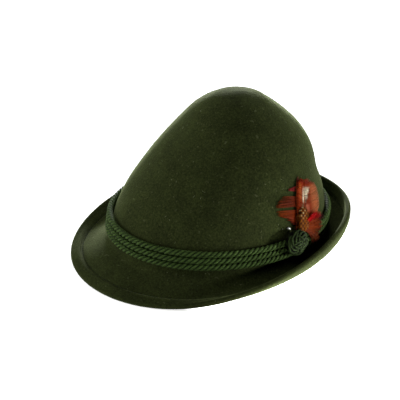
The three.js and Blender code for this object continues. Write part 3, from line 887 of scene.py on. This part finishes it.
vaneForm = {
    "forward": {0.0: 0.1, 1.0: 0.16}, "curve": 1.3, "spread": 0.35, "roots": (0.02, 0.97), "slope": 0.3,
    "strayAlong": 0.002, "strayReach": 0.012, "strayOff": 0.06, "shade": 0.09, "shadeLimits": (0.7, 1.3),
    "offPower": 1.2, "quill": 0.5, "quillTaper": 0.85, "quillEnd": 0.96, "quillLift": 0.1, "quillSteps": 30,
}


def vanePlace(s, t, u):
    # t along the vane, u from 0 at the left edge to 1 at the right: between the edges, bulging off the crown
    left, right = np.interp(t, s["along"], s["left"]), np.interp(t, s["along"], s["right"])
    side = left + (right - left) * u
    height = s["foot"] + s["length"] * t - s["drop"] * (side - left) * smoothStep(t, 0.0, 0.5)
    off, spread = s["off"], smoothStep(t, 0.0, vaneForm["spread"])
    across = off["left"] + (off["right"] - off["left"]) * u ** vaneForm["offPower"]
    level = off["foot"] * (1 - spread) + across * spread
    return np.stack([side, height, level + off["bulge"] * 4 * u * (1 - u) * spread], -1)


def addVane(shape, s, paint, steps=10):
    # barbs from the rachis out to each edge, running forwards as a power of their length
    f, count = vaneForm, (s["barbs"], 1)
    for edge, forward in f["forward"].items():
        root = np.linspace(*f["roots"], s["barbs"])[:, None]
        a = np.linspace(0, 1, steps)[None]
        t = np.clip(root + forward * a ** f["curve"] * (1 - root) ** 0.5, 0, 1)
        t = t + dice.normal(0, f["strayAlong"], count)
        u = s["rachis"] + (edge - s["rachis"]) * a * (1 + dice.normal(0, f["strayReach"], count))
        places = vanePlace(s, np.clip(t, 0, 1), u)
        places[..., 2] += dice.normal(0, f["strayOff"], count)
        shade = np.clip(dice.normal(1, f["shade"], (*count, 1)), *f["shadeLimits"])
        addBarbs(shape, places, s["width"], barbForm["thickness"], np.clip(paint(places) * shade, 0, 1))
    t = np.linspace(0, f["quillEnd"], f["quillSteps"])
    quill = vanePlace(s, t, np.full(len(t), s["rachis"])) + [0.0, 0.0, f["quillLift"]]
    addQuill(shape, quill, f["quill"] * (1 - f["quillTaper"] * t), s["colours"]["base"])


def mix(first, second, share):
    return first * (1 - share[..., None]) + second * share[..., None]


def palette(colours):
    # dyed colours are darker, plain ones as they are
    return {name: np.array(linear(*colour)) * (1.0 if name in ("ivory", "cream") else plume["dye"])
            for name, colour in colours.items()}


def paintGlossy(places):
    # rust, paler down the right side as painted highlight, with an ivory blaze that widens upwards, speckled
    # grey and pink below it
    g, m = palette(glossy["colours"]), glossy["marks"]
    side = places[..., 0]
    level = places[..., 1] + vaneForm["slope"] * side
    # painted highlight down the right side, fading out towards the top
    right = smoothStep(side, *m["rightHighlight"]) * (1 - smoothStep(level, *m["rightHighlightEnd"]))
    colour = mix(g["base"], g["rightHighlight"], right)
    line = bell(side, *m["leftLine"]) * smoothStep(level, *m["leftLineFrom"])
    colour = mix(colour, g["leftLine"], line * m["leftLineShare"])
    colour = mix(colour, g["top"], smoothStep(level, *m["top"]))
    up = level - m["blazeFoot"]
    middle, half = (foot + up * widening for foot, widening in (m["blazeMiddle"], m["blazeHalf"]))
    inside = smoothStep(half - np.abs(side - middle), -m["blazeEdge"], m["blazeEdge"])
    band = between(level, m["blazeRise"], m["blazeFall"])
    colour = mix(colour, g["brown"], bell(side - middle - half, *m["brown"]) * band)
    colour = mix(colour, g["ivory"], inside * band)
    colour = mix(colour, g["grey"], bell(side, middle, m["shaft"][0]) * band * m["shaft"][1])
    low = between(level, m["lowRise"], m["lowFall"])
    dots = 0.5 + 0.5 * np.sin(side * m["dotWaves"][0]) * np.sin(level * m["dotWaves"][1])
    colour = mix(colour, g["grey"], low * bell(side, *m["dots"]) * dots)
    return mix(colour, g["pink"], low * bell(side, *m["pink"]) * m["pinkShare"])


def paintSpeckled(places):
    # a chequer of two cosines: dark in its hollows, gold on its crests, cream on the upper left ones
    g, m = palette(speckled["colours"]), speckled["marks"]
    side = places[..., 0]
    level = places[..., 1] + vaneForm["slope"] * side
    wave = np.ones_like(side)
    for at, (start, spacing) in ((side, m["spotSide"]), (level, m["spotHeight"])):
        wave = wave * np.cos((at - start) * math.pi / spacing)
    colour = mix(np.broadcast_to(g["base"], places.shape), g["dark"], smoothStep(-wave, *m["dark"]))
    colour = mix(colour, g["gold"], smoothStep(wave, *m["gold"]))
    cream = smoothStep(wave, *m["cream"]) * smoothStep(level, *m["creamFrom"])
    return mix(colour, g["cream"], cream * (1 - smoothStep(side, *m["creamSide"])))


glossyShape, speckledShape = newShape(), newShape()
addVane(glossyShape, glossy, paintGlossy)
addVane(speckledShape, speckled, paintSpeckled)
makePiece("glossy_feather", glossyShape, barbStuff, ["plume_front"])
makePiece("speckled_feather", speckledShape, barbStuff)

tufts = {
    "red_tuft": [
        {"roots": [(3.5, 30.5, 6.4), (4.5, 26.5, 6.0)],
         "tips": [(12.5, 36.6, 8.2), (19.0, 33.6, 8.6), (23.0, 28.6, 8.4)],
         "count": 70, "width": 0.5, "bow": (1.0, 1.2, 1.2), "stray": (0.9, 0.7, 0.6), "thickness": 0.2,
         "colours": [(206, 4, 4), (216, 6, 4), (130, 4, 4)]},
        {"roots": [(4.0, 28.5, 6.2), (4.5, 26.5, 6.0)], "tips": [(26.0, 29.0, 8.2), (29.0, 24.0, 8.0)],
         "count": 9, "width": 0.4, "bow": (0, 2.0, 1.0), "colours": [(120, 8, 8), (70, 6, 6)]},
    ],
    "brown_tuft": [
        {"roots": [(3.5, 27.5, 6.0), (5.0, 22.0, 5.4)],
         "tips": [(16.5, 30.0, 8.2), (22.5, 24.0, 8.4), (24.0, 16.0, 8.2), (20.0, 11.5, 8.0)],
         "count": 90, "width": 0.5, "bow": (0.8, 1.0, 1.2), "stray": (1.0, 0.9, 0.6), "thickness": 0.2,
         "colours": [(168, 66, 6), (150, 54, 4), (62, 14, 0)]},
        {"roots": [(4.5, 24.0, 5.8), (4.5, 21.5, 5.4)],
         "tips": [(22.0, 8.0, 8.0), (21.0, 3.0, 7.8), (12.5, 10.0, 7.6)],
         "count": 40, "width": 0.45, "bow": (2.0, 2.5, 1.4), "stray": (1.0, 1.2, 0.6),
         "colours": [(130, 52, 24), (138, 66, 34), (120, 56, 30)]},
    ],
}
for name, sheaves in tufts.items():
    tuftShape = newShape()
    for one in sheaves:
        sheaf(tuftShape, one)
    makePiece(name, tuftShape, barbStuff)

# Thread wound round the plume's foot, under the knot's edge
binding = {
    "side": 3.4, "height": 22.9, "off": 2.9, "wide": 2.7, "tall": 2.5, "ridge": 0.03, "ridges": 22.0,
    "grey": 0.4, "rings": 26, "around": 32, "yarn": 8.0,
}


def sideAxes(side):
    # level along the crown and square to it, at a place in the plume, and up
    out, up = outward(plumeAngle(side)), np.array([0.0, 0.0, 1.0])
    return np.cross(up, out), out, up


def bindingShape(s):
    # a ball whose rings swell and shrink as a cosine, turn by turn of the thread
    shape = newShape()
    along, out, up = sideAxes(0.0)
    high = np.linspace(-math.pi / 2, math.pi / 2, s["rings"] + 2)[1:-1, None]
    grow = 1 + s["ridge"] * np.cos(high * s["ridges"])
    ball = ballRings(high, s["around"], along * s["wide"], out * s["tall"], up * s["wide"], grow)
    addTube(shape, plumeSpot(s["side"], s["height"], s["off"]) + ball, s["yarn"])
    greyColours(shape, np.full(s["rings"] * s["around"] + 2, s["grey"]))
    return shape


makePiece("plume_binding", bindingShape(binding), cordStuff)

# Pin pushed through the felt: its head, then the shaft under the felt's face, then its end in the open
pin = {
    "side": -9.3, "height": 27.1, "head": 1.25, "gap": 0.15, "shaft": 0.42, "length": 6.3, "climb": 1.0,
    "goesIn": (0.0, 0.14), "depth": 0.9, "comesOut": 0.9, "lift": 0.8, "lifts": (0.75, 1.0),
    "point": 4.0, "tip": 0.03, "rings": 16, "around": 24, "steps": 26,
    "colour": (0.7, 0.7, 0.68), "worn": (0.42, 0.42, 0.4), "roughness": 0.3, "wear": (2500.0, 3.0),
    "wornTo": 0.3, "cleanFrom": 0.65,
}


def pinShape(s):
    # a ball, and a thin rod that dips into the felt as the root of a half sine and lifts out of it
    shape = newShape()
    high = np.linspace(math.pi / 2, -math.pi / 2, s["rings"] + 2)[1:-1, None]
    ball = ballRings(high, s["around"], *sideAxes(s["side"])) * s["head"]
    addTube(shape, plumeSpot(s["side"], s["height"], s["head"] + s["gap"]) + ball)
    a = np.linspace(0, 1, s["steps"])
    dip = s["depth"] * np.sin(math.pi * np.clip(a / s["comesOut"], 0, 1)) ** 0.5
    off = s["head"] * (1 - smoothStep(a, *s["goesIn"])) - dip + s["lift"] * smoothStep(a, *s["lifts"])
    line = plumeSpot(s["side"] - s["length"] * a, s["height"] + s["climb"] * a, off)
    addRod(shape, line, s["shaft"] * np.minimum(1, s["point"] * (1 + s["tip"] - a)))
    return shape


def metalMaterial(s):
    material, tree, shader = newMaterial("pin_metal", s["colour"], s["roughness"], Metallic=1.0)
    wear = addNoise(tree, objectPlace(tree), *s["wear"])
    wire(shader, "Base Color", ramp(tree, wear, [(s["wornTo"], s["worn"]), (s["cleanFrom"], s["colour"])]))
    return material


makePiece("hat_pin", pinShape(pin), metalMaterial(pin), ["plume_pin"])
print("plume and pin placed")


# Stage: pale glowing floor, a white backdrop that lights nothing, and soft boxes behind, beside and above
stage = {
    "floor": {
        "colour": (0.9, 0.9, 0.9), "reach": 6.0, "under": 0.0002, "middle": (0.045, 0.01, 0.0),
        "near": 10.5, "beside": 0.68, "far": 0.92, "nearFade": (0.085, 0.108), "farFade": (0.28, 0.6),
    },
    "backdrop": 1.0, "aim": (0.0, 0.0, 0.07),
    "boxes": {
        # azimuth, elevation, distance in m, size in m, watts
        "back": (232.0, 3.0, 1.5, 0.2, 54.0),
        "highBack": (232.0, 38.0, 1.5, 0.4, 8.0),
        "right": (134.0, 1.5, 1.3, 0.14, 19.0),
        "left": (328.0, 5.0, 1.5, 0.3, 14.0),
        "highLeft": (335.0, 55.0, 1.5, 0.9, 3.8),
        "top": (20.0, 60.0, 1.4, 0.9, 6.6),
    },
}


def softBox(name, azimuth, elevation, distance, size, watts):
    # a round box at its azimuth, elevation and distance from the aim, facing it
    a, e = math.radians(azimuth), math.radians(elevation)
    away = Vector((math.sin(a) * math.cos(e), -math.cos(a) * math.cos(e), math.sin(e)))
    data = bpy.data.lights.new(name, "AREA")
    data.shape = "DISK"
    data.size = size
    data.energy = watts
    light = addObject(name, data)
    light.location = Vector(stage["aim"]) + away * distance
    light.rotation_euler = away.to_track_quat("Z", "Y").to_euler()


def makeBackdrop(strength):
    world = bpy.data.worlds.new("backdrop")
    bpy.context.scene.world = world
    world.use_nodes = True
    background = world.node_tree.nodes["Background"]
    background.inputs["Color"].default_value = (1.0, 1.0, 1.0, 1.0)
    background.inputs["Strength"].default_value = strength
    seen = world.cycles_visibility
    seen.diffuse = seen.glossy = seen.transmission = seen.scatter = False


def floorGlow(tree, s):
    # strongest near the middle, less beside it, and a little more again far away, eased by distance
    away = addMath(tree, "DISTANCE", objectPlace(tree), s["middle"], kind="ShaderNodeVectorMath")
    parts = []
    for (start, end), low, high in (
            (s["nearFade"], s["near"], s["beside"]), (s["farFade"], 0.0, s["far"] - s["beside"])):
        parts.append(addNode(tree, "ShaderNodeMapRange", {
            "Value": away, "From Min": start, "From Max": end, "To Min": low, "To Max": high,
        }, interpolation_type="SMOOTHSTEP").outputs["Result"])
    return addMath(tree, "ADD", *parts)


def makeFloor(s):
    material, tree, shader = newMaterial(
        "pale_floor", s["colour"], roughness=0.9, Emission_Color=(1.0, 1.0, 1.0, 1.0))
    wire(shader, "Emission Strength", floorGlow(tree, s))
    r, z = s["reach"], -s["under"]
    mesh = bpy.data.meshes.new("floor")
    mesh.from_pydata([(-r, -r, z), (r, -r, z), (r, r, z), (-r, r, z)], [], [(0, 1, 2, 3)])
    mesh.materials.append(material)
    addObject("floor", mesh)


for name, row in stage["boxes"].items():
    softBox(f"{name}_box", *row)
makeBackdrop(stage["backdrop"])
makeFloor(stage["floor"])
bpy.context.scene.view_settings.view_transform = "Standard"
print("stage set")
